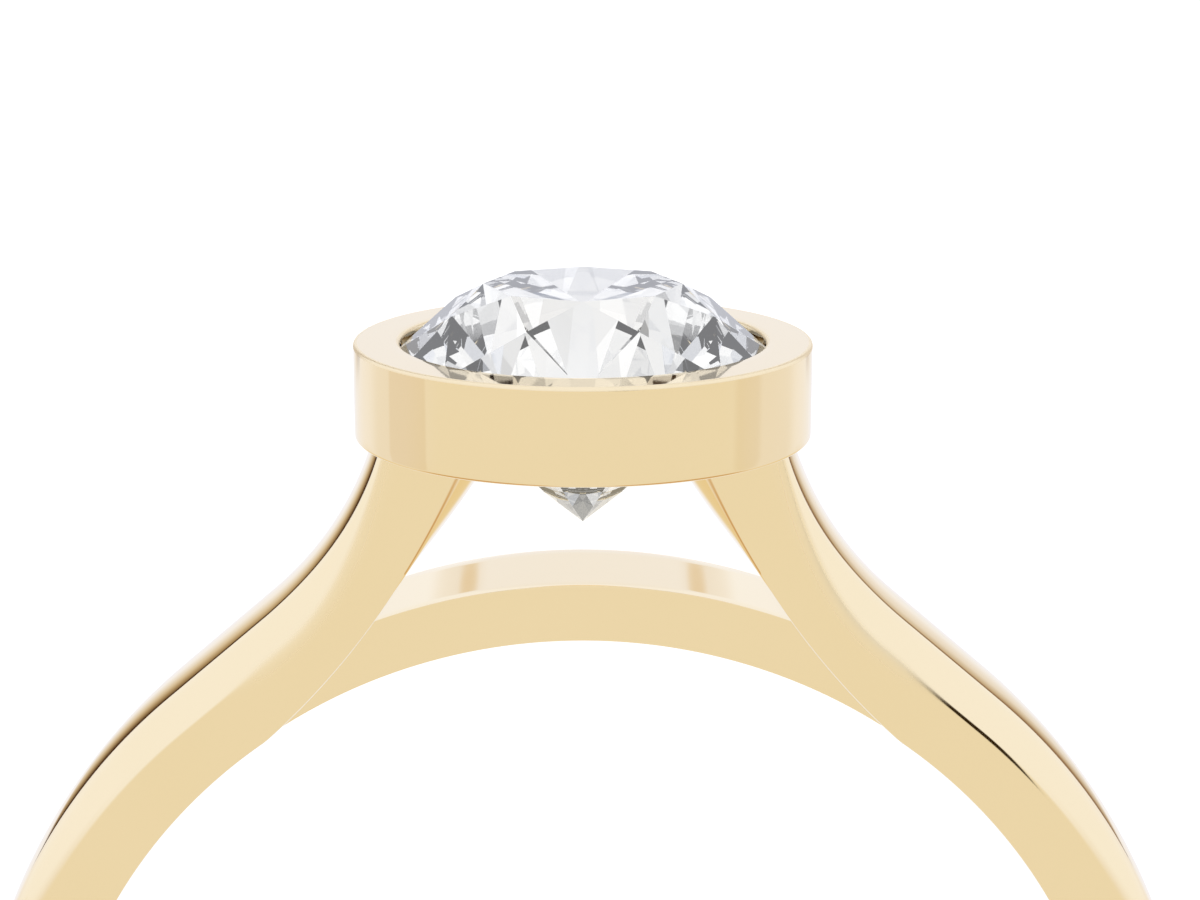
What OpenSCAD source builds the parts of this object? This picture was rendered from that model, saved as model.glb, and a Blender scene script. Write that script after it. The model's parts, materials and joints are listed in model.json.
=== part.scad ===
// Bezel set solitaire ring, lying on its side. Millimetres, floor at z = 0.
// It is modelled upright first: finger axis along Y, bezel towards +Z, finger centre at the origin.

/* [Finger hole and band] */
// inside diameter of the finger hole
finger_d = 17.3; // [14:0.1:23]
// thickness of the band, finger hole to crown
band_t = 1.5; // [1:0.05:3]
// width of the band along the finger
band_w = 2.7; // [1.8:0.05:6]
// radius of the domed outside of the band, across its width
band_dome_r = 5; // [2:0.1:20]
// rounding between the dome and the flat sides
band_edge_r = 0.4; // [0.1:0.05:0.8]

/* [Shoulders] */
// straight length between the round of the band and the upsweep
shoulder_run = 2.05; // [0.5:0.05:4]
// how far that straight crest starts below the band's crest
run_sink = 0.02; // [0.01:0.005:0.05]
// radius of the hollow upsweep to the bezel
upsweep_r = 5.7; // [3:0.1:12]
// crest of the shoulder inside the bezel's outline, where they meet
root_inset = 0.3; // [0.1:0.01:1]
// width of the shoulder under the bezel, crest to inner edge
root_w = 1.5; // [0.8:0.05:2.2]
// radius of the inner side of each shoulder, beside the window
window_side_r = 12.3; // [8:0.1:20]
// how deep that inner side would run into the finger hole
window_side_bite = 0.04; // [0.02:0.01:0.3]
// bulge of the inner side across the width
window_side_crown = 0.28; // [0.05:0.01:0.6]

/* [Bridge] */
// width of the band's arch under the bezel
bridge_w = 2.1; // [1:0.05:2.6]
// thickness of that arch
bridge_t = 0.9; // [0.6:0.05:1.4]

/* [Bezel] */
// outside diameter of the bezel
bezel_d = 7.2; // [5:0.1:12]
// height of the bezel wall
bezel_h = 1.5; // [0.8:0.05:3]
// rim above the top of the finger hole
bezel_rise = 4.63; // [3:0.05:8]
// rounding of the outer rim edge and the outer lower edge
bezel_edge_r = 0.1; // [0.02:0.01:0.3]
// overlap of the lip over the girdle of the stone, on each side
lip_overlap = 0.08; // [0.02:0.01:0.3]
// softening of the lip, from the rim down to the stone
lip_soft = 0.07; // [0.02:0.01:0.15]
// width of the seat under the girdle
seat_w = 0.68; // [0.3:0.02:1.2]

/* [Stone] */
// girdle diameter of the round brilliant
stone_d = 5.9; // [4:0.1:9]
// corner to corner width of the table
table_d = 3.1; // [2:0.05:5]
// diameter of the circle through the star tips
star_d = 4.4; // [3:0.05:7]
// height of the crown above the girdle
crown_h = 1.08; // [0.4:0.02:2]
// thickness of the girdle
girdle_t = 0.13; // [0.03:0.01:0.4]
// depth of the pavilion below the girdle
pavilion_h = 2.64; // [1.5:0.02:5]
// diameter of the circle through the lower half tips
half_tip_d = 1.3; // [0.4:0.05:3]
// girdle below the rim
girdle_drop = 0.2; // [0.1:0.01:0.6]
// space between the stone and the bezel
seat_gap = 0.03; // [0.02:0.01:0.1]
// space between the stone and the shoulders below the bezel
pavilion_gap = 0.15; // [0.05:0.01:0.4]

/* [Hidden] */
$fn = 96;
gold = [0.86, 0.70, 0.42];
clear = [0.85, 0.90, 0.95];
// angles of the bevels that round the band's edge: the first one's end, and the step between them
bevel_first = 30;
bevel_step = 20;
// how far the first bevel is drawn out past its end, as a share of the rounding
bevel_tip = 0.6;
// how far swept and cutting shapes go past the metal that they meet
sweep_spare = 0.6;
disc_spare = 0.5;
window_spare = 0.2;
bridge_spare = 0.3;
// degrees that the bridge's ends reach on inside the shoulders
bridge_bury = 4;
// half of one of the stone's eight parts
half_part = 22.5;

finger_r = finger_d / 2;
band_r = finger_r + band_t;
half_w = band_w / 2;
bezel_r = bezel_d / 2;
rim_z = finger_r + bezel_rise;
bezel_z = rim_z - bezel_h;

// Cross section of the band: u runs outwards from the crest, v across the width.
edge_v = half_w - band_edge_r;
dome_u = -band_dome_r;
edge_reach = band_dome_r - band_edge_r;
edge_turn = asin(edge_v / edge_reach);
edge_u = dome_u + edge_reach * cos(edge_turn);
// depth of the swept section, more than the shoulders are thick
deep = band_t + window_side_crown + sweep_spare;

// Centre of a circle that passes through point p, where the centre lies reach from the finger centre.
function circle_centre(p, r, reach) =
    let (d = norm(p),
        along = (d * d + reach * reach - r * r) / (2 * d),
        off = sqrt(reach * reach - along * along))
    (along * p + off * [p[1], -p[0]]) / d;

// Right shoulder: its crest follows the band, then a straight run, then the upsweep to the bezel.
crest_root = [bezel_r - root_inset, bezel_z];
upsweep_c = circle_centre(crest_root, upsweep_r, norm([band_r + upsweep_r, shoulder_run]));
shoulder_angle = atan2(upsweep_c[0], upsweep_c[1]) + atan2(shoulder_run, band_r + upsweep_r);
// the shoulders end inside the bezel wall, above its lower edge
root_z = bezel_z + bezel_h / 3;
upsweep_end = asin(min(0.99, max(-0.99, (upsweep_c[1] - root_z) / upsweep_r)));
upsweep_turn = 90 - shoulder_angle - upsweep_end;

// Its inner side is part of a large circle, bulged across the width.
side_root = [crest_root[0] - root_w, bezel_z];
side_c = circle_centre(side_root, window_side_r, finger_r + window_side_r - window_side_bite);
crown_arc_r = (half_w * half_w + window_side_crown * window_side_crown) / (2 * window_side_crown);
// direction of that centre from the bezel's axis
side_angle = atan2(side_c[0], side_c[1]);
// the band goes on under the run until the run's crest stands clear above it
band_reach = 2 * acos((band_r - run_sink) / band_r);

// Stone, heights from the finger centre.
stone_r = stone_d / 2;
girdle_top = rim_z - girdle_drop;
girdle_low = girdle_top - girdle_t;
table_z = girdle_top + crown_h;
culet_z = girdle_low - pavilion_h;
table_r = table_d / 2;
star_r = star_d / 2;
half_tip_r = half_tip_d / 2;
crown_slope = crown_h / (stone_r - table_r);
star_z = table_z - (star_r * cos(half_part) - table_r) * crown_slope;
half_tip_z = culet_z + half_tip_r * cos(half_part) * pavilion_h / stone_r;
girdle_slope = (star_z - girdle_top) / (stone_r - star_r);
pavilion_slope = pavilion_h / stone_r;

// Space for the stone in the metal.
seat_r = stone_r + seat_gap;
lip_r = stone_r - lip_overlap;
bore_r = seat_r - seat_w;
lip_low = girdle_top + (lip_overlap + seat_gap) * girdle_slope;
seat_z = girdle_low - seat_gap;
bore_top = seat_z - seat_w * pavilion_slope;
scoop_z = bezel_z - pavilion_gap;
culet_room_z = culet_z - pavilion_gap * norm([1, pavilion_slope]);
scoop_r = (scoop_z - culet_room_z) / pavilion_slope;

// Rest on the floor: the bezel's lower edge and the far edge of the band touch it.
near_y = bezel_z + bezel_edge_r;
near_z = -(bezel_r - bezel_edge_r);
far_y = -(band_r + edge_u);
far_z = -edge_v;
rest_span = norm([near_y - far_y, near_z - far_z]);
lie_tilt = atan((far_z - near_z) / (near_y - far_y)) - asin((band_edge_r - bezel_edge_r) / rest_span);
lift = band_edge_r - (far_y * sin(lie_tilt) + far_z * cos(lie_tilt));

// Ends of the lying ring along Y, for an origin under its middle.
table_end = table_z * cos(lie_tilt) + table_r * sin(lie_tilt);
rim_end = (rim_z - bezel_edge_r) * cos(lie_tilt) + (bezel_r - bezel_edge_r) * sin(lie_tilt) + bezel_edge_r;
shank_end = (band_r + dome_u) * cos(lie_tilt) + band_dome_r;
slide = (shank_end - max(table_end, rim_end)) / 2;

// The band's section: flat sides, bevelled round to a domed outside, crest at the origin.
module band_section() {
    up = [for (a = [bevel_first : bevel_step : 90]) [edge_u + band_edge_r * cos(a), edge_v + band_edge_r * sin(a)]];
    low = [for (i = [len(up) - 1 : -1 : 0]) [up[i][0], -up[i][1]]];
    tip = up[0] + bevel_tip * band_edge_r * [1, -1 / tan(bevel_first - bevel_step / 2)];
    intersection() {
        translate([dome_u, 0]) circle(band_dome_r);
        polygon(concat([[-deep, -half_w]], low, [[tip[0], -tip[1]], tip], up, [[-deep, half_w]]));
    }
}

// Stands a solid swept round Z upright, so that it is swept round an axis along Y.
module ring_plane() {
    rotate([90, 0, 0]) children();
}

module shank() {
    start = shoulder_angle - band_reach;
    ring_plane()
        rotate([0, 0, 90 + start])
            rotate_extrude(angle = 360 - 2 * start) translate([band_r, 0]) band_section();
}

// Left shoulder, seen from the start of its straight run: x along the run, y outwards.
module shoulder() {
    ring_plane()
        rotate([0, 0, shoulder_angle])
            translate([0, band_r - run_sink, 0]) {
                rotate([90, 0, 90]) linear_extrude(height = shoulder_run) band_section();
                translate([shoulder_run, upsweep_r, 0])
                    rotate([0, 0, -90])
                        rotate_extrude(angle = upsweep_turn)
                            translate([upsweep_r, 0]) mirror([1, 0]) band_section();
            }
}

// Disc on the left whose rim is the inner side of that shoulder, bulged across the width.
module side_disc() {
    ring_plane()
        translate([-side_c[0], side_c[1], 0])
            rotate_extrude()
                intersection() {
                    translate([window_side_r + window_side_crown - crown_arc_r, 0]) circle(crown_arc_r);
                    translate([0, -half_w - disc_spare])
                        square([window_side_r + 2 * disc_spare, band_w + 2 * disc_spare]);
                }
}

// The open space between the shoulders, from the finger hole up past the bezel's lower edge.
module window() {
    far = 3 * band_r;
    edge = far * [sin(side_angle), cos(side_angle)];
    difference() {
        ring_plane()
            linear_extrude(height = band_w + 2 * window_spare, center = true)
                intersection() {
                    polygon([[0, 0], edge, [-edge[0], edge[1]]]);
                    translate([-band_r, 0]) square([2 * band_r, bezel_z + bezel_h / 2]);
                }
        side_disc();
        mirror([1, 0, 0]) side_disc();
    }
}

module bridge() {
    reach = shoulder_angle + bridge_bury;
    ring_plane()
        rotate([0, 0, 90 - reach])
            rotate_extrude(angle = 2 * reach)
                translate([finger_r - bridge_spare, -bridge_w / 2])
                    square([bridge_t + bridge_spare, bridge_w]);
}

// A quarter of a disc, for the bezel's rounded edges.
module quarter(r, low) {
    intersection() {
        circle(r);
        translate([0, low ? -r : 0]) square(r);
    }
}

// Bezel wall as one turned solid, rounded at its outer edges.
module bezel() {
    inset = bezel_r - bezel_edge_r;
    rotate_extrude() {
        translate([0, bezel_z]) square([inset, bezel_h]);
        translate([0, bezel_z + bezel_edge_r]) square([bezel_r, bezel_h - 2 * bezel_edge_r]);
        translate([inset, bezel_z + bezel_edge_r]) quarter(bezel_edge_r, true);
        translate([inset, rim_z - bezel_edge_r]) quarter(bezel_edge_r, false);
    }
}

// The hollow that the stone sits in: lip, seat, bore and room for the pavilion down to the culet.
module stone_room() {
    rotate_extrude()
        polygon([[0, culet_room_z], [scoop_r, scoop_z], [bore_r, scoop_z], [bore_r, bore_top],
            [seat_r, seat_z], [seat_r, girdle_top], [lip_r, lip_low], [lip_r, rim_z - lip_soft],
            [lip_r + lip_soft, rim_z], [lip_r + lip_soft, rim_z + bezel_h], [0, rim_z + bezel_h]]);
}

module finger_hole() {
    ring_plane() cylinder(r = finger_r, h = 2 * band_w, center = true);
}

module mounting_upright() {
    difference() {
        union() {
            difference() {
                union() {
                    shank();
                    shoulder();
                    mirror([1, 0, 0]) shoulder();
                }
                window();
            }
            bridge();
            bezel();
        }
        finger_hole();
        stone_room();
    }
}

// Round brilliant: table, stars, kites, girdle halves, girdle and pavilion.
function ring_points(r, z, first, count) =
    [for (i = [0 : count - 1]) [r * cos(first + i * 360 / count), r * sin(first + i * 360 / count), z]];

module stone_upright() {
    points = concat(
        ring_points(table_r, table_z, 0, 8),
        ring_points(star_r, star_z, half_part, 8),
        ring_points(stone_r, girdle_top, 0, 16),
        ring_points(stone_r, girdle_low, 0, 16),
        ring_points(half_tip_r, half_tip_z, half_part, 8),
        [[0, 0, culet_z]]);
    // first point of the stars, the girdle's top and bottom, the lower halves and the culet
    s = 8;
    g = 16;
    b = 32;
    p = 48;
    c = 56;
    faces = concat(
        [[for (i = [7 : -1 : 0]) i]],
        [for (i = [0 : 7]) [i, (i + 1) % 8, s + i]],
        [for (i = [0 : 7]) [i, s + i, g + 2 * i, s + (i + 7) % 8]],
        [for (i = [0 : 7]) [s + i, g + 2 * i + 1, g + 2 * i]],
        [for (i = [0 : 7]) [s + i, g + (2 * i + 2) % 16, g + 2 * i + 1]],
        [for (i = [0 : 15]) [g + i, g + (i + 1) % 16, b + (i + 1) % 16, b + i]],
        [for (i = [0 : 7]) [b + 2 * i, b + 2 * i + 1, p + i]],
        [for (i = [0 : 7]) [b + 2 * i + 1, b + (2 * i + 2) % 16, p + i]],
        [for (i = [0 : 7]) [b + 2 * i, p + i, c, p + (i + 7) % 8]]);
    polyhedron(points = points, faces = faces, convexity = 2);
}

// Lays the upright ring on its side on the floor, bezel towards +Y.
module lying() {
    translate([0, slide, lift]) rotate([lie_tilt, 0, 0]) rotate([-90, 0, 0]) children();
}

module ring_mounting() {
    color(gold) lying() mounting_upright();
}

module stone() {
    color(clear) lying() stone_upright();
}

ring_mounting();
stone();
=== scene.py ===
"""Bezel set solitaire ring, lying on its side: the looks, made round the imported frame.

Lengths are millimetres in the upright ring (finger axis along Y, bezel towards +Z,
finger centre at the origin) until lay_down() turns them into the frame's metres.
"""
import json
import math

import bpy
import numpy as np
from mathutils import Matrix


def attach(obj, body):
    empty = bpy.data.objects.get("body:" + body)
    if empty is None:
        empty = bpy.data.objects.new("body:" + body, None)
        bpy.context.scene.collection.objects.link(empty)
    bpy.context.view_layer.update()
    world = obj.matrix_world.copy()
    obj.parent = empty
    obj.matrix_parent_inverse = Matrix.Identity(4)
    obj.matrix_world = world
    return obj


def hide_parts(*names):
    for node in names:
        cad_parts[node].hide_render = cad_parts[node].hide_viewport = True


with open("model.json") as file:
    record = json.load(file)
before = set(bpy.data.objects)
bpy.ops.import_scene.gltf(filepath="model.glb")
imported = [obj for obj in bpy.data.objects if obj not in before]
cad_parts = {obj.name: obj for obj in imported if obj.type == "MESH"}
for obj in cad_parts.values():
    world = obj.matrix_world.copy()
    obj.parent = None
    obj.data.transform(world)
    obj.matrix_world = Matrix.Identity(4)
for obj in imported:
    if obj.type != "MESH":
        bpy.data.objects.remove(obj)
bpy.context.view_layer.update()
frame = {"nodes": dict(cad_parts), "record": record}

MM = 0.001

# Sizes that the frame gives
mount = frame["record"]["mounts"][0]
FINGER_R = mount["dims"]["r_mm"]
BAND_W = mount["dims"]["length_mm"]
HALF_W = BAND_W / 2
FINGER_CENTRE = np.array(mount["pos_m"])
FINGER_AXIS = np.array(mount["axis"])

# Band and shoulders
BAND_T = 1.5
BAND_R = FINGER_R + BAND_T
DOME_R = 5.0
SHANK_EDGE_R = 0.62
ROOT_EDGE_R = 0.12
EDGE_NARROWS_FROM = 2.2
EDGE_NARROWS_OVER = 3.2
INNER_BEVEL = 0.05
SHOULDER_RUN = 2.05
UPSWEEP_R = 5.7
ROOT_INSET = 0.3
ROOT_W = 1.5
ROOT_BURY = 0.06
SIDE_R = 12.3
SIDE_BITE = 0.04
SIDE_CROWN = 0.53
SIDE_CROWN_FADE = 0.8
LONGEST_REACH = 4.0

# Softly worn edge of the shoulders: how far past the shank it starts, over what length it grows,
# and its share in each column from the flat face outwards
WORN_FROM = 0.6
WORN_OVER = 1.0
WORN_COLUMNS = (1.0, 1.0, 0.8, 0.4)

# Bridge: past BRIDGE_SUNK_FROM, an angle from straight up, its inner side is sunk so that the shoulders
# cover it. They only do so from about 35 degrees on, so that a shallow groove shows before that
BRIDGE_W = 2.1
BRIDGE_T = 0.9
BRIDGE_BEVEL = 0.005
BRIDGE_SUNK_FROM = math.radians(33)
BRIDGE_SUNK = 0.02

# Bezel, with a ring of points a small gap away from each end of its rim's rounded edge
BEZEL_R = 3.6
BEZEL_H = 1.5
BEZEL_RISE = 4.63
BEZEL_EDGE_R = 0.055
EDGE_RING_GAP = 0.012
LIP_OVERLAP = 0.08
LIP_SOFT = 0.07
LIP_SLOPE = 0.11
SEAT_W = 0.68
SEAT_GAP = 0.03
BORE_CHAMFER = 0.05
PAVILION_GAP = 0.15
RIM_Z = FINGER_R + BEZEL_RISE
BEZEL_Z = RIM_Z - BEZEL_H

# Stone
STONE_R = 2.95
GIRDLE_DROP = 0.2
GIRDLE_T = 0.13
PAVILION_H = 2.64
GIRDLE_TOP = RIM_Z - GIRDLE_DROP
GIRDLE_LOW = GIRDLE_TOP - GIRDLE_T
PAVILION_SLOPE = PAVILION_H / STONE_R
LIP_R = STONE_R - LIP_OVERLAP
SEAT_R = STONE_R + SEAT_GAP
BORE_R = SEAT_R - SEAT_W
SEAT_Z = GIRDLE_LOW - SEAT_GAP
BORE_TOP = SEAT_Z - SEAT_W * PAVILION_SLOPE
SCOOP_Z = BEZEL_Z - PAVILION_GAP
CULET_ROOM_Z = GIRDLE_LOW - PAVILION_H - PAVILION_GAP * math.hypot(1, PAVILION_SLOPE)

# How finely the pieces are divided
SHANK_STEPS = 150
RUN_STEP = 0.1
UPSWEEP_STEPS = 50
HOLE_STEPS = 12
SIDE_STEPS = 80
HALVINGS = 30
EDGE_STEPS = 13
DOME_STEPS = 17
INNER_COLUMNS = 25
BRIDGE_STATIONS = 181
BRIDGE_ACROSS = 8
BEZEL_TURNS = 288

# Edges between faces that turn by more than this stay sharp
SHARP_TURN = math.radians(35)


def unit(angle):
    """Direction in the ring's plane, as X and Z, turned from +X towards +Z."""
    return np.array([math.cos(angle), math.sin(angle)])


def circle_centre(point, radius, reach):
    """Centre of a circle through point, where the centre lies reach from the finger centre."""
    d = math.hypot(*point)
    along = (d * d + reach * reach - radius * radius) / (2 * d)
    off = math.sqrt(reach * reach - along * along)
    return (along * point + off * np.array([point[1], -point[0]])) / d


# Right shoulder in the ring's plane: crest and inner side, with angles from straight up.
# The aim of its stations leaves the finger hole at HOLE_END, and past BAND_START only that hole
# bounds the metal.
crest_root = np.array([BEZEL_R - ROOT_INSET, BEZEL_Z])
upsweep_c = circle_centre(crest_root, UPSWEEP_R, math.hypot(BAND_R + UPSWEEP_R, SHOULDER_RUN))
SHOULDER_ANGLE = math.atan2(*upsweep_c) + math.atan2(SHOULDER_RUN, BAND_R + UPSWEEP_R)
side_root = np.array([crest_root[0] - ROOT_W, BEZEL_Z])
side_c = circle_centre(side_root, SIDE_R, FINGER_R + SIDE_R - SIDE_BITE)
SIDE_ANGLE = math.atan2(*side_c)
HOLE_END = SIDE_ANGLE - 0.04
BAND_START = SIDE_ANGLE + 0.02
CROWN_ARC_R = (HALF_W ** 2 + SIDE_CROWN ** 2) / (2 * SIDE_CROWN)
BRIDGE_TOP = FINGER_R + BRIDGE_T
ROOT_TOP = BEZEL_Z + ROOT_BURY


def lay_down(points):
    """Upright millimetres to the frame's metres, from the finger hole's place and axis."""
    across = np.array([1.0, 0.0, 0.0])
    upright_z = np.cross(across, -FINGER_AXIS)
    basis = np.stack([across, -FINGER_AXIS, upright_z])
    return points * MM @ basis + FINGER_CENTRE


def make_object(name, points, faces):
    """A smooth mesh object whose large faces keep their own normals."""
    mesh = bpy.data.meshes.new(name)
    mesh.from_pydata(lay_down(np.asarray(points, float)).tolist(), [], faces)
    mesh.validate()
    mesh.update()
    mesh.shade_smooth()
    piece = bpy.data.objects.new(name, mesh)
    bpy.context.scene.collection.objects.link(piece)
    sharp = mesh.attributes.new("sharp_edge", "BOOLEAN", "EDGE")
    sharp.data.foreach_set("value", sharp_edges(mesh))
    keep = piece.modifiers.new("face normals", "WEIGHTED_NORMAL")
    keep.weight = 100
    keep.keep_sharp = True
    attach(piece, "root")
    return piece


def sharp_edges(mesh):
    """Which edges turn by more than the sharp turn."""
    count = len(mesh.polygons)
    normals = np.empty(3 * count)
    mesh.polygons.foreach_get("normal", normals)
    normals = normals.reshape(-1, 3)
    loops = np.empty(len(mesh.loops), int)
    mesh.loops.foreach_get("edge_index", loops)
    sizes = np.empty(count, int)
    mesh.polygons.foreach_get("loop_total", sizes)
    owner = np.repeat(np.arange(count), sizes)
    order = np.argsort(loops, kind="stable")
    edges, first, uses = np.unique(loops[order], return_index=True, return_counts=True)
    result = np.zeros(len(mesh.edges), bool)
    pair = uses == 2
    a = owner[order[first[pair]]]
    b = owner[order[first[pair] + 1]]
    turn = (normals[a] * normals[b]).sum(1)
    result[edges[pair]] = turn < math.cos(SHARP_TURN)
    return result


def mark_worn(piece, shares):
    """Stores how far each point's polish is worn softer, from 0 to 1, for the gold."""
    attribute = piece.data.attributes.new("worn", "FLOAT", "POINT")
    attribute.data.foreach_set("value", shares)


def tube_faces(rows, columns, closed_rows):
    """Quads of a grid that is closed along its columns, and along its rows too if asked."""
    faces = []
    for i in range(rows if closed_rows else rows - 1):
        for j in range(columns):
            a = i * columns + j
            b = i * columns + (j + 1) % columns
            c = (i + 1) % rows * columns + (j + 1) % columns
            d = (i + 1) % rows * columns + j
            faces.append((a, b, c, d))
    return faces


def right_crest():
    """Crest points and outward directions from the band's foot to the right shoulder's root."""
    points = []
    outwards = []
    for turn in np.linspace(math.pi, SHOULDER_ANGLE, SHANK_STEPS):
        outwards.append(unit(math.pi / 2 - turn))
        points.append(BAND_R * outwards[-1])
    start = points[-1]
    normal = outwards[-1]
    along = np.array([-normal[1], normal[0]])
    for s in np.linspace(0, SHOULDER_RUN, round(SHOULDER_RUN / RUN_STEP) + 1)[1:]:
        points.append(start + s * along)
        outwards.append(normal)
    first = math.pi / 2 - SHOULDER_ANGLE
    last = math.asin((upsweep_c[1] - ROOT_TOP) / UPSWEEP_R)
    for turn in np.linspace(first, last, UPSWEEP_STEPS)[1:]:
        outwards.append(unit(turn))
        points.append(upsweep_c - UPSWEEP_R * outwards[-1])
    return np.array(points), np.array(outwards)


def right_inner(count):
    """Points on the inner side that the shoulder's stations aim at, from the shoulder's start to its root."""
    hole_turns = np.linspace(SHOULDER_ANGLE, HOLE_END, HOLE_STEPS)
    hole = [FINGER_R * unit(math.pi / 2 - turn) for turn in hole_turns]
    first = math.atan2(*(hole[-1] - side_c)[::-1])
    last = -math.pi - math.asin((ROOT_TOP - side_c[1]) / SIDE_R)
    side = [side_c + SIDE_R * unit(turn) for turn in np.linspace(first, last, SIDE_STEPS)[1:]]
    path = np.array(hole + side)
    reach = np.concatenate([[0], np.cumsum(np.hypot(*np.diff(path, axis=0).T))])
    even = np.linspace(0, reach[-1], count)
    return np.stack([np.interp(even, reach, path[:, k]) for k in (0, 1)], 1)


def is_metal(x, z, v):
    """Whether a point lies on the metal's side of the finger hole, the window and the stone's room."""
    bulge = SIDE_CROWN - CROWN_ARC_R + np.sqrt(np.maximum(0, CROWN_ARC_R ** 2 - v ** 2))
    height = np.clip((z - BRIDGE_TOP) / (BEZEL_Z - BRIDGE_TOP), 0, 1)
    crowned = SIDE_R + bulge * height ** SIDE_CROWN_FADE
    turn = np.arctan2(np.abs(x), z)
    beside = (np.hypot(np.abs(x) - side_c[0], z - side_c[1]) <= crowned) | (turn > BAND_START)
    room = np.where(z < SCOOP_Z, (z - CULET_ROOM_Z) / PAVILION_SLOPE, BORE_R)
    return beside & (np.hypot(x, z) >= FINGER_R) & (np.hypot(x, v) >= room)


def reach_inner(start, direction, v):
    """How far the metal goes from each start point, found by halving."""
    low = np.zeros(len(start))
    high = np.full(len(start), LONGEST_REACH)
    for _ in range(HALVINGS):
        middle = (low + high) / 2
        point = start + middle[:, None] * direction
        solid = is_metal(point[:, 0], point[:, 1], v)
        low = np.where(solid, middle, low)
        high = np.where(solid, high, middle)
    return low


def band_section(edge_r):
    """Outer half of the section for each edge radius: how far out from the crest, and how far across."""
    edge_v = HALF_W - edge_r
    turn = np.arcsin(edge_v / (DOME_R - edge_r))
    edge_u = -DOME_R + (DOME_R - edge_r) * np.cos(turn)
    section = []
    for share in np.linspace(0, 1, EDGE_STEPS):
        t = math.pi / 2 + (turn - math.pi / 2) * share
        section.append((edge_u + edge_r * np.cos(t), edge_v + edge_r * np.sin(t)))
    for share in np.linspace(1, 0, DOME_STEPS)[1:]:
        t = turn * share
        section.append((-DOME_R + DOME_R * np.cos(t), DOME_R * np.sin(t)))
    section += [(u, -v) for u, v in section[-2::-1]]
    return section, edge_u


def inner_columns(base, inward):
    """The section's flat faces and inner side, each column as its points and how far across it is."""
    edge = reach_inner(base, inward, HALF_W)
    flat = [base + (edge - INNER_BEVEL)[:, None] * part * inward for part in (1 / 3, 2 / 3, 1)]
    soft = INNER_BEVEL * (1 - math.cos(math.pi / 4))
    near = base + (edge - soft)[:, None] * inward
    inset = HALF_W - INNER_BEVEL
    columns = [(points, -HALF_W) for points in flat]
    columns += [(near, -HALF_W + soft)]
    for v in np.linspace(-inset, inset, INNER_COLUMNS):
        columns.append((base + reach_inner(base, inward, v)[:, None] * inward, v))
    columns += [(near, HALF_W - soft)]
    columns += [(points, HALF_W) for points in flat[::-1]]
    return columns


def both_sides(right, mirror):
    """Stations from the left root round the band's foot to the right root, from the right half's."""
    return np.concatenate([(right[1:] * mirror)[::-1], right])


def band():
    """Shank and both shoulders: one section carried along the crest."""
    crest, outward = right_crest()
    count = len(crest)
    gone = np.concatenate([[0], np.cumsum(np.hypot(*np.diff(crest, axis=0).T))])
    past_shank = gone - gone[SHANK_STEPS - 1]
    share = np.clip((past_shank - EDGE_NARROWS_FROM) / EDGE_NARROWS_OVER, 0, 1)
    share = share * share * (3 - 2 * share)
    section, edge_u = band_section(SHANK_EDGE_R + (ROOT_EDGE_R - SHANK_EDGE_R) * share)
    aim = crest - BAND_T * outward
    aim[SHANK_STEPS - 1:] = right_inner(count - SHANK_STEPS + 1)
    base = crest + edge_u[:, None] * outward
    inward = aim - base
    inward /= np.hypot(*inward.T)[:, None]
    columns = [(crest + u[:, None] * outward, v) for u, v in section]
    columns += inner_columns(base, inward)
    right = np.stack([np.stack([p[:, 0], np.zeros(count) - v, p[:, 1]], 1) for p, v in columns], 1)
    points = both_sides(right, [-1, 1, 1])
    stations, around = points.shape[:2]
    faces = tube_faces(stations, around, False)
    faces.append(tuple(range(around))[::-1])
    faces.append(tuple((stations - 1) * around + j for j in range(around)))
    piece = make_object("band_and_shoulders", points.reshape(-1, 3), faces)
    across = np.zeros(around)
    across[:len(WORN_COLUMNS)] = WORN_COLUMNS
    across[len(section) - len(WORN_COLUMNS):len(section)] = WORN_COLUMNS[::-1]
    along = both_sides(np.clip((past_shank - WORN_FROM) / WORN_OVER, 0, 1), 1)
    mark_worn(piece, np.outer(along, across).ravel())
    return piece


def arc_points(centre, radius, first, last, count):
    """Points on an arc, angles in degrees, both ends included."""
    return [tuple(np.array(centre) + radius * unit(math.radians(a))) for a in np.linspace(first, last, count)]


def bridge():
    """Arch of the band under the bezel, its ends inside the shoulders."""
    b = BRIDGE_BEVEL
    half = BRIDGE_W / 2
    step = (BRIDGE_W - 2 * b) / BRIDGE_ACROSS
    section = arc_points((half - b, FINGER_R + b), b, -90, 0, 5)
    section += arc_points((half - b, BRIDGE_TOP - b), b, 0, 90, 5)
    section += [(half - b - step * k, BRIDGE_TOP) for k in range(1, BRIDGE_ACROSS)]
    section += arc_points((b - half, BRIDGE_TOP - b), b, 90, 180, 5)
    section += arc_points((b - half, FINGER_R + b), b, 180, 270, 5)
    section += [(b - half + step * k, FINGER_R) for k in range(1, BRIDGE_ACROSS)]
    points = []
    for turn in np.linspace(-SHOULDER_ANGLE, SHOULDER_ANGLE, BRIDGE_STATIONS):
        sunk = BRIDGE_SUNK if abs(turn) > BRIDGE_SUNK_FROM else 0
        for v, r in section:
            if r < FINGER_R + b:
                r = r + sunk
            points.append((r * math.sin(turn), v, r * math.cos(turn)))
    around = len(section)
    faces = [f[::-1] for f in tube_faces(BRIDGE_STATIONS, around, False)]
    faces.append(tuple(range(around)))
    faces.append(tuple((BRIDGE_STATIONS - 1) * around + j for j in range(around))[::-1])
    return make_object("bridge", points, faces)


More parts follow.
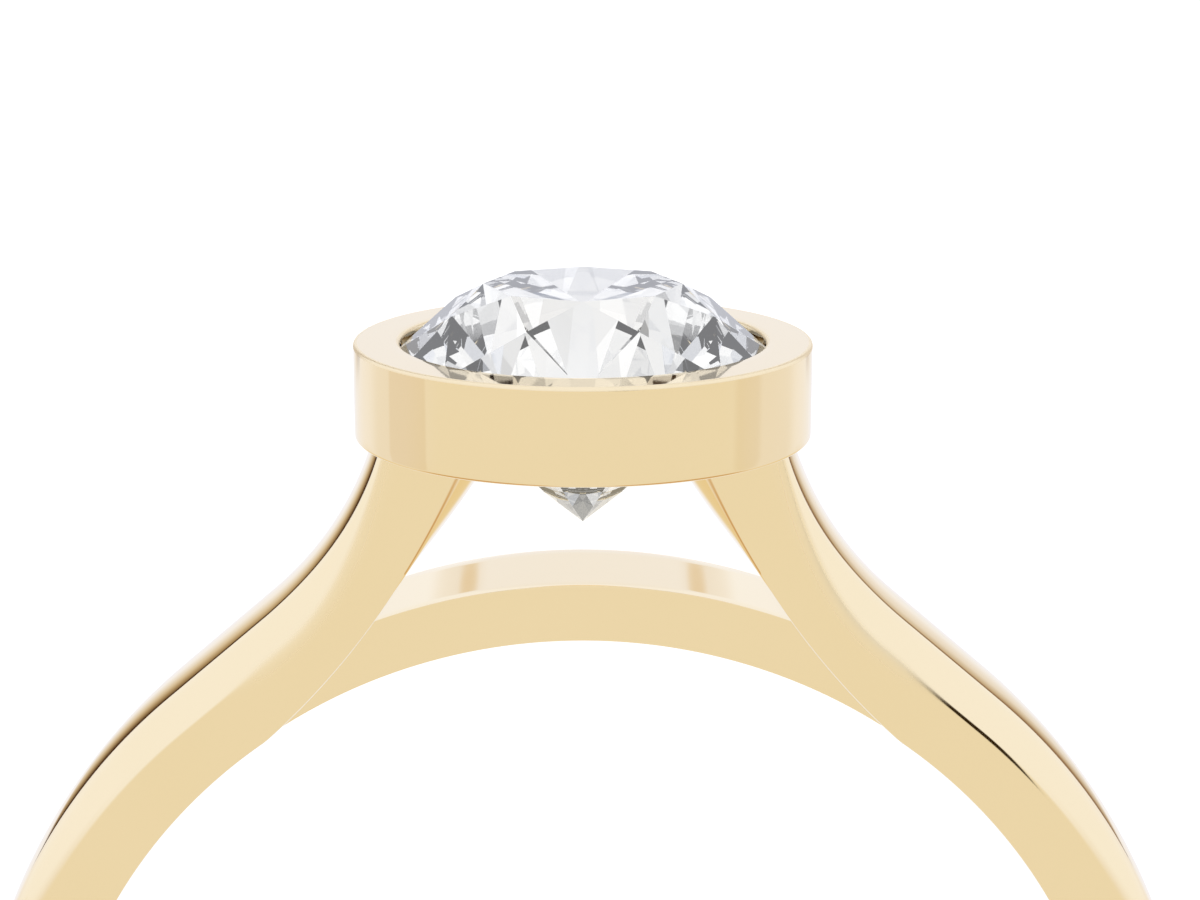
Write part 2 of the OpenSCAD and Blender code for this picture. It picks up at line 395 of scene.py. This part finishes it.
def bezel():
    """Bezel wall turned from one closed profile, with its lip, seat and bore."""
    inset = BEZEL_R - BEZEL_EDGE_R
    low = BEZEL_Z + BEZEL_EDGE_R
    rim = RIM_Z - BEZEL_EDGE_R
    flat_in = LIP_R + LIP_SOFT
    bore_edge = BORE_R + BORE_CHAMFER
    lip_low = GIRDLE_TOP + LIP_SLOPE * (LIP_OVERLAP + SEAT_GAP)
    profile = [(bore_edge + (inset - bore_edge) * k / 6, BEZEL_Z) for k in range(6)]
    profile += arc_points((inset, low), BEZEL_EDGE_R, -90, 0, 7)
    profile += [(BEZEL_R, low + (rim - low) * k / 10) for k in range(1, 10)]
    profile += [(BEZEL_R, rim - EDGE_RING_GAP)]
    profile += arc_points((inset, rim), BEZEL_EDGE_R, 0, 90, 7)
    profile += [(inset - EDGE_RING_GAP, RIM_Z)]
    profile += [(inset + (flat_in - inset) * k / 5, RIM_Z) for k in range(1, 5)]
    profile += arc_points((flat_in, RIM_Z - LIP_SOFT), LIP_SOFT, 90, 180, 6)
    profile += [(LIP_R, lip_low), (SEAT_R, GIRDLE_TOP), (SEAT_R, SEAT_Z), (BORE_R, BORE_TOP)]
    profile += [(BORE_R, BEZEL_Z + BORE_CHAMFER)]
    points = []
    for k in range(BEZEL_TURNS):
        turn = 2 * math.pi * k / BEZEL_TURNS
        points += [(r * math.cos(turn), r * math.sin(turn), z) for r, z in profile]
    faces = [f[::-1] for f in tube_faces(BEZEL_TURNS, len(profile), True)]
    piece = make_object("bezel", points, faces)
    tiny = 0.001
    rounded = [z > rim - tiny and (r > inset - tiny or r < flat_in - tiny) for r, z in profile]
    mark_worn(piece, np.tile(np.array(rounded, float), BEZEL_TURNS))
    return piece


class Nodes:
    """A material's node tree, with short calls for the nodes used here."""

    def __init__(self, name):
        self.material = bpy.data.materials.new(name)
        self.material.use_nodes = True
        self.tree = self.material.node_tree
        self.shader = self.tree.nodes["Principled BSDF"]

    def add(self, kind, **values):
        """A new node, with each value on the input or the property of that name."""
        node = self.tree.nodes.new(kind)
        for key, value in values.items():
            if key in node.inputs:
                node.inputs[key].default_value = value
            else:
                setattr(node, key, value)
        return node

    def link(self, source, target):
        self.tree.links.new(source, target)


# Polished 14 carat gold: the two ends of its faint colour change, how rough its polish is, and what
# full wear adds to that
GOLD_DEEP = (0.935, 0.775, 0.495, 1)
GOLD_PALE = (0.945, 0.785, 0.51, 1)
POLISH_BEST = 0.035
POLISH_WORST = 0.075
WORN_ADDS = 0.28


def gold_material():
    """Polished yellow gold: faint polishing waves and a trace of colour change."""
    m = Nodes("polished_yellow_gold")
    m.shader.inputs["Metallic"].default_value = 1.0
    place = m.add("ShaderNodeTexCoord")
    tint = m.add("ShaderNodeTexNoise", Scale=320.0, Detail=3.0)
    m.link(place.outputs["Object"], tint.inputs["Vector"])
    ramp = m.add("ShaderNodeValToRGB")
    ramp.color_ramp.elements[0].position = 0.3
    ramp.color_ramp.elements[0].color = GOLD_DEEP
    ramp.color_ramp.elements[1].position = 0.7
    ramp.color_ramp.elements[1].color = GOLD_PALE
    m.link(tint.outputs["Fac"], ramp.inputs["Fac"])
    m.link(ramp.outputs["Color"], m.shader.inputs["Base Color"])
    wear = m.add("ShaderNodeTexNoise", Scale=900.0, Detail=4.0)
    m.link(place.outputs["Object"], wear.inputs["Vector"])
    polish = m.add("ShaderNodeMapRange")
    polish.inputs["To Min"].default_value = POLISH_BEST
    polish.inputs["To Max"].default_value = POLISH_WORST
    m.link(wear.outputs["Fac"], polish.inputs["Value"])
    worn = m.add("ShaderNodeAttribute", attribute_name="worn")
    softer = m.add("ShaderNodeMath", operation="MULTIPLY_ADD")
    softer.inputs[1].default_value = WORN_ADDS
    m.link(worn.outputs["Fac"], softer.inputs[0])
    m.link(polish.outputs["Result"], softer.inputs[2])
    m.link(softer.outputs["Value"], m.shader.inputs["Roughness"])
    waves = m.add("ShaderNodeBump", Strength=0.08, Distance=0.000004)
    m.link(tint.outputs["Fac"], waves.inputs["Height"])
    m.link(waves.outputs["Normal"], m.shader.inputs["Normal"])
    return m.material


def diamond_material():
    """Clear cut diamond."""
    m = Nodes("diamond")
    m.shader.inputs["Base Color"].default_value = (1.0, 0.995, 0.985, 1)
    m.shader.inputs["Roughness"].default_value = 0.0
    m.shader.inputs["IOR"].default_value = 2.417
    m.shader.inputs["Specular Tint"].default_value = (1.0, 0.95, 0.84, 1)
    m.shader.inputs["Transmission Weight"].default_value = 1.0
    return m.material


def floor_material():
    """Pale glowing board, as used under small goods."""
    m = Nodes("pale_floor")
    m.shader.inputs["Base Color"].default_value = (0.5, 0.5, 0.5, 1)
    m.shader.inputs["Roughness"].default_value = 0.9
    m.shader.inputs["Specular IOR Level"].default_value = 0.0
    m.shader.inputs["Emission Color"].default_value = (1, 1, 1, 1)
    m.shader.inputs["Emission Strength"].default_value = 0.74
    return m.material


def make_floor():
    """A board 3 metres wide under the ring, unseen in the metal and through the stone."""
    half = 1.5
    corners = [(-half, -half, 0), (half, -half, 0), (half, half, 0), (-half, half, 0)]
    mesh = bpy.data.meshes.new("floor")
    mesh.from_pydata(corners, [], [(0, 1, 2, 3)])
    floor = bpy.data.objects.new("floor", mesh)
    bpy.context.scene.collection.objects.link(floor)
    mesh.materials.append(floor_material())
    floor.visible_glossy = False
    floor.visible_transmission = False


# The photo's camera, turned with the ring so that it looks down on it: millimetres in the frame,
# degrees, and a shift as a share of the picture's width
CAMERA_LENS = 81.9
CAMERA_SENSOR = 36
CAMERA_SHIFT = 0.0143
CAMERA_PLACE = (0, 15.16, 46.43)
CAMERA_TILT = -7.704


def make_camera():
    """The camera at the photo's angle to the ring."""
    data = bpy.data.cameras.new("camera")
    data.lens = CAMERA_LENS
    data.sensor_width = CAMERA_SENSOR
    data.shift_x = CAMERA_SHIFT
    data.clip_start = 0.001
    data.clip_end = 10
    camera = bpy.data.objects.new("camera", data)
    camera.location = [MM * part for part in CAMERA_PLACE]
    camera.rotation_euler = (math.radians(CAMERA_TILT), 0, 0)
    bpy.context.scene.collection.objects.link(camera)
    bpy.context.scene.camera = camera


def compass(elevation, azimuth):
    """A direction from the ring, azimuth from +Y towards +X."""
    e = math.radians(elevation)
    a = math.radians(azimuth)
    return (math.cos(e) * math.sin(a), math.cos(e) * math.cos(a), math.sin(e))


# How a patch changes the dome: it lies over what is there, or multiplies it
LAY = "MIX"
DIM = "MULTIPLY"


class Dome:
    """The studio's light dome: a base colour with soft patches over it, by direction alone."""

    def __init__(self):
        world = bpy.data.worlds.new("studio")
        bpy.context.scene.world = world
        world.use_nodes = True
        self.tree = world.node_tree
        self.background = self.tree.nodes["Background"]
        self.way = self.tree.nodes.new("ShaderNodeTexCoord").outputs["Generated"]
        parts = self.tree.nodes.new("ShaderNodeSeparateXYZ")
        self.tree.links.new(self.way, parts.inputs[0])
        aside = self.math("ABSOLUTE", parts.outputs["X"])
        both = self.tree.nodes.new("ShaderNodeCombineXYZ")
        for key, value in (("X", aside), ("Y", parts.outputs["Y"]), ("Z", parts.outputs["Z"])):
            self.tree.links.new(value, both.inputs[key])
        self.both_ways = both.outputs[0]
        self.color = None

    def math(self, operation, *values):
        """Result of one operation on numbers and sockets."""
        node = self.tree.nodes.new("ShaderNodeMath")
        node.operation = operation
        for k, value in enumerate(values):
            if isinstance(value, (int, float)):
                node.inputs[k].default_value = value
            else:
                self.tree.links.new(value, node.inputs[k])
        return node.outputs[0]

    def dot(self, direction, mirrored=False):
        """How far the ray points along a direction, with left and right alike if mirrored."""
        node = self.tree.nodes.new("ShaderNodeVectorMath")
        node.operation = "DOT_PRODUCT"
        self.tree.links.new(self.both_ways if mirrored else self.way, node.inputs[0])
        node.inputs[1].default_value = direction
        return node.outputs["Value"]

    def ramp(self, value, low, high):
        """Smooth share from 0 at low to 1 at high."""
        node = self.tree.nodes.new("ShaderNodeMapRange")
        node.interpolation_type = "SMOOTHSTEP"
        self.tree.links.new(value, node.inputs["Value"])
        node.inputs["From Min"].default_value = low
        node.inputs["From Max"].default_value = high
        return node.outputs["Result"]

    def mix(self, share, color, blend):
        """Lays a colour over what is there or dims it with one, by share."""
        node = self.tree.nodes.new("ShaderNodeMix")
        node.data_type = "RGBA"
        node.blend_type = blend
        self.tree.links.new(share, node.inputs["Factor"])
        sockets = {i.name: i for i in node.inputs if i.type == "RGBA"}
        for key, value in (("A", self.color), ("B", color)):
            if isinstance(value, tuple):
                sockets[key].default_value = (*value, 1)
            else:
                self.tree.links.new(value, sockets[key])
        self.color = [o for o in node.outputs if o.type == "RGBA"][0]

    def colour_ramp(self, value, stops):
        """Colour along a value from 0 to 1, through the stops given."""
        node = self.tree.nodes.new("ShaderNodeValToRGB")
        elements = node.color_ramp.elements
        while len(elements) < len(stops):
            elements.new(1.0)
        for element, (position, color) in zip(elements, stops):
            element.position = position
            element.color = (*color, 1)
        self.tree.links.new(value, node.inputs["Fac"])
        return node.outputs["Color"]

    def cells(self, scale, shift):
        """A plain value from 0 to 1 for each cell of the sky."""
        moved = self.tree.nodes.new("ShaderNodeVectorMath")
        self.tree.links.new(self.way, moved.inputs[0])
        moved.inputs[1].default_value = shift
        node = self.tree.nodes.new("ShaderNodeTexVoronoi")
        node.inputs["Scale"].default_value = scale
        self.tree.links.new(moved.outputs["Vector"], node.inputs["Vector"])
        parts = self.tree.nodes.new("ShaderNodeSeparateColor")
        self.tree.links.new(node.outputs["Color"], parts.inputs["Color"])
        return parts.outputs["Red"]

    def patches(self, rows):
        """Round soft patches, one after another."""
        for blend, elevation, azimuth, inner, outer, mirrored, color in rows:
            near = self.dot(compass(elevation, azimuth), mirrored)
            share = self.ramp(near, math.cos(math.radians(outer)), math.cos(math.radians(inner)))
            self.mix(share, color, blend)

    def done(self, in_stone):
        """Ends the dome: what shines through the stone comes from its own colour, in_stone."""
        seen_by = self.tree.nodes.new("ShaderNodeLightPath")
        self.mix(seen_by.outputs["Is Transmission Ray"], in_stone, LAY)
        self.tree.links.new(self.color, self.background.inputs["Color"])


# Cells of the sky that shines through the stone: how fine, a shift that picks the pattern, and greys
# by each cell's value, few dark and many bright
STONE_CELLS = 9.0
STONE_SHIFT = (7.7, 4.1, 6.3)
STONE_GREYS = (
    (0.0, (0.06, 0.06, 0.06)), (0.04, (0.4, 0.398, 0.39)), (0.09, (0.72, 0.715, 0.7)),
    (0.25, (0.82, 0.813, 0.795)), (0.5, (0.92, 0.91, 0.885)), (0.8, (1.1, 1.09, 1.06)))

# Patches seen through the stone, in degrees: blend, elevation, azimuth, full inside, gone past,
# on both sides or not, colour
STONE_PATCHES = (
    (DIM, 14, -160, 25, 40, False, (0.84, 0.84, 0.84)),
    (LAY, -66, 172, 6, 15, False, (1.02, 1.02, 1.01)),
    (LAY, -36, -113, 8, 14, False, (0.8, 0.8, 0.79)),
    (DIM, -3, 2, 17, 21, False, (0.44, 0.465, 0.515)),
    (DIM, -9, 6, 4, 6, False, (0.15, 0.2, 0.3)),
    (DIM, 54, 40, 14, 20, True, (0.76, 0.78, 0.83)),
    (DIM, 25, 77, 2, 3, False, (0.2, 0.2, 0.2)),
    (DIM, 38.5, -59, 2, 3, False, (0.2, 0.2, 0.2)),
    (LAY, -64, -157, 6, 7, False, (1.7, 1.7, 1.66)))

# Directions in the frame
TO_HEAD = (0, 1, 0)
TO_RIGHT = (1, 0, 0)
TO_LEFT = (-1, 0, 0)
UP = (0, 0, 1)

# The studio that the gold mirrors, placed for the photo's camera. What is said below of the
# parts that mirror a light, or that it is kept off, holds from there only.
# Its sky, a board to each side that the bezel's sides mirror, and a board over the shank's half of the
# sky that most of the ring's front mirrors. Each board's columns: direction, on both sides or not, how
# far along it the board begins and is full, how far towards the head it ends, from nothing to full,
# and colour
SKY = (1.0, 1.05, 1.2)
BOARDS = (
    (TO_RIGHT, True, (0.5, 0.8), (0.02, -0.2), (0.9, 0.885, 0.9)),
    ((0, -1.04, 1), False, (0.0, 0.55), (-0.1, -0.21), (0.89, 0.86, 0.785)))

# Patches that the gold mirrors, with the stone's columns. They show mainly on the bezel's left side,
# its right side, the legs' outer strips and the bezel's far sides, the shoulders beside the window
# (two rows, the second on the bezel's lower edge too), the bezel's rim and the bridge's outer face,
# and the bridge's two bands (two rows)
GOLD_PATCHES = (
    (DIM, -9, -103, 12.5, 14.5, False, (0.94, 0.9, 0.84)),
    (DIM, -1, 103.5, 5, 11, False, (0.95, 0.92, 0.86)),
    (LAY, -62, 105, 12, 30, True, (0.96, 0.975, 1.06)),
    (LAY, -42, 137, 11, 25, True, (0.86, 0.74, 0.5)),
    (DIM, -3, 150, 17, 29, True, (0.74, 0.5, 0.27)),
    (LAY, -70, 0, 8, 11, False, (0.95, 0.98, 1.1)),
    (DIM, -68, 25, 0.5, 2.4, True, (0.95, 0.91, 0.84)),
    (DIM, -68, 22.7, 0.2, 0.9, True, (0.9, 0.78, 0.58)))

# Oval dark patch that the right leg's edge mirrors: direction, middle and half length of each axis,
# its soft rim, and the limits that keep it high and off what the bezel mirrors
MARK_AXES = (
    ((-0.603, 0.697, 0.393), 0.002, 0.066),
    ((0.693, 0.7, -0.179), -0.09, 0.145))
MARK_RIM = (1.0, 0.5)
MARK_UPWARD = (0.6, 0.7)
MARK_OFF_BEZEL = (-0.265, -0.235)
MARK_COLOR = (0.03, 0.015, 0.0)

# Dark line that the shoulders' outer edges mirror. From other angles it shows elsewhere, as on the
# band's inner side. A vector across it, the value where it starts sharply, the scale that turns the
# value past that into a place from 0 to 1, the limits that keep it off what the bezel mirrors and
# beside the ring, and its colours by place, left and right
LINE_ACROSS = (-3.42, 1.2, -4.19)
LINE_START = 1.575
LINE_SCALE = 0.8
LINE_OFF_BEZEL = (-0.124, -0.092)
LINE_BESIDE = (0.15, 0.3)
LEFT_LINE = (
    (0.0, (1.0, 1.0, 1.0)), (0.015, (0.045, 0.015, 0.0)), (0.24, (0.08, 0.035, 0.012)),
    (0.43, (0.48, 0.35, 0.19)), (0.61, (0.76, 0.65, 0.47)), (0.82, (0.91, 0.87, 0.79)),
    (1.0, (1.0, 1.0, 1.0)))
RIGHT_LINE = (
    (0.0, (1.0, 1.0, 1.0)), (0.015, (0.2, 0.11, 0.045)), (0.24, (0.34, 0.22, 0.12)),
    (0.38, (0.66, 0.55, 0.4)), (0.6, (0.88, 0.83, 0.75)), (1.0, (1.0, 1.0, 1.0)))


def stone_light(dome):
    """Neutral studio that shines through the stone, and that nothing else shows."""
    dome.color = dome.colour_ramp(dome.cells(STONE_CELLS, STONE_SHIFT), STONE_GREYS)
    dome.patches(STONE_PATCHES)
    return dome.color


def lay_boards(dome):
    """Soft boards, all on the shank's half of the sky."""
    for direction, mirrored, along, to_head, color in BOARDS:
        inside = dome.ramp(dome.dot(direction, mirrored), *along)
        below_head = dome.ramp(dome.dot(TO_HEAD), *to_head)
        dome.mix(dome.math("MULTIPLY", inside, below_head), color, LAY)


def leg_mark(dome):
    """Narrow dark patch that the right leg's edge mirrors, kept off what the bezel mirrors."""
    squares = []
    for direction, middle, half in MARK_AXES:
        share = dome.math("DIVIDE", dome.math("SUBTRACT", dome.dot(direction), middle), half)
        squares.append(dome.math("MULTIPLY", share, share))
    oval = dome.ramp(dome.math("ADD", *squares), *MARK_RIM)
    upward = dome.ramp(dome.dot(UP), *MARK_UPWARD)
    off_bezel = dome.ramp(dome.dot(TO_HEAD), *MARK_OFF_BEZEL)
    dome.mix(dome.math("MULTIPLY", oval, dome.math("MULTIPLY", upward, off_bezel)), MARK_COLOR, DIM)


def edge_lines(dome):
    """Dark lines that the shoulders' outer edges mirror, kept off what the bezel mirrors."""
    depth = dome.math("SUBTRACT", dome.dot(LINE_ACROSS, mirrored=True), LINE_START)
    depth = dome.math("MULTIPLY", depth, LINE_SCALE)
    off_bezel = dome.ramp(dome.dot(TO_HEAD), *LINE_OFF_BEZEL)
    for side, colors in ((TO_LEFT, LEFT_LINE), (TO_RIGHT, RIGHT_LINE)):
        beside = dome.ramp(dome.dot(side), *LINE_BESIDE)
        dome.mix(dome.math("MULTIPLY", off_bezel, beside), dome.colour_ramp(depth, colors), DIM)


def floor_lamp():
    """Soft lamp for the floor, unseen in the metal and through the stone."""
    fill = bpy.data.lights.new("floor_fill", "SUN")
    fill.energy = 0.6
    fill.angle = math.radians(25)
    lamp = bpy.data.objects.new("floor_fill", fill)
    lamp.rotation_euler = (math.radians(-7.7), 0, 0)
    lamp.visible_glossy = False
    lamp.visible_transmission = False
    bpy.context.scene.collection.objects.link(lamp)


def make_light():
    """The studio dome, with its own light for the stone, and the floor's lamp."""
    dome = Dome()
    in_stone = stone_light(dome)
    dome.color = SKY
    lay_boards(dome)
    dome.patches(GOLD_PATCHES)
    leg_mark(dome)
    edge_lines(dome)
    dome.done(in_stone)
    floor_lamp()


gold = gold_material()
pieces = {"band": band(), "bridge": bridge(), "bezel": bezel()}
for piece in pieces.values():
    piece.data.materials.append(gold)
    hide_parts("ring_mounting")
    piece.visible_transmission = False
pieces["band"].visible_glossy = False
pieces["bridge"].visible_glossy = False
stone = frame["nodes"]["stone"]
stone.data.materials.clear()
stone.data.materials.append(diamond_material())
make_floor()
make_camera()
make_light()
bpy.context.scene.view_settings.view_transform = "Standard"
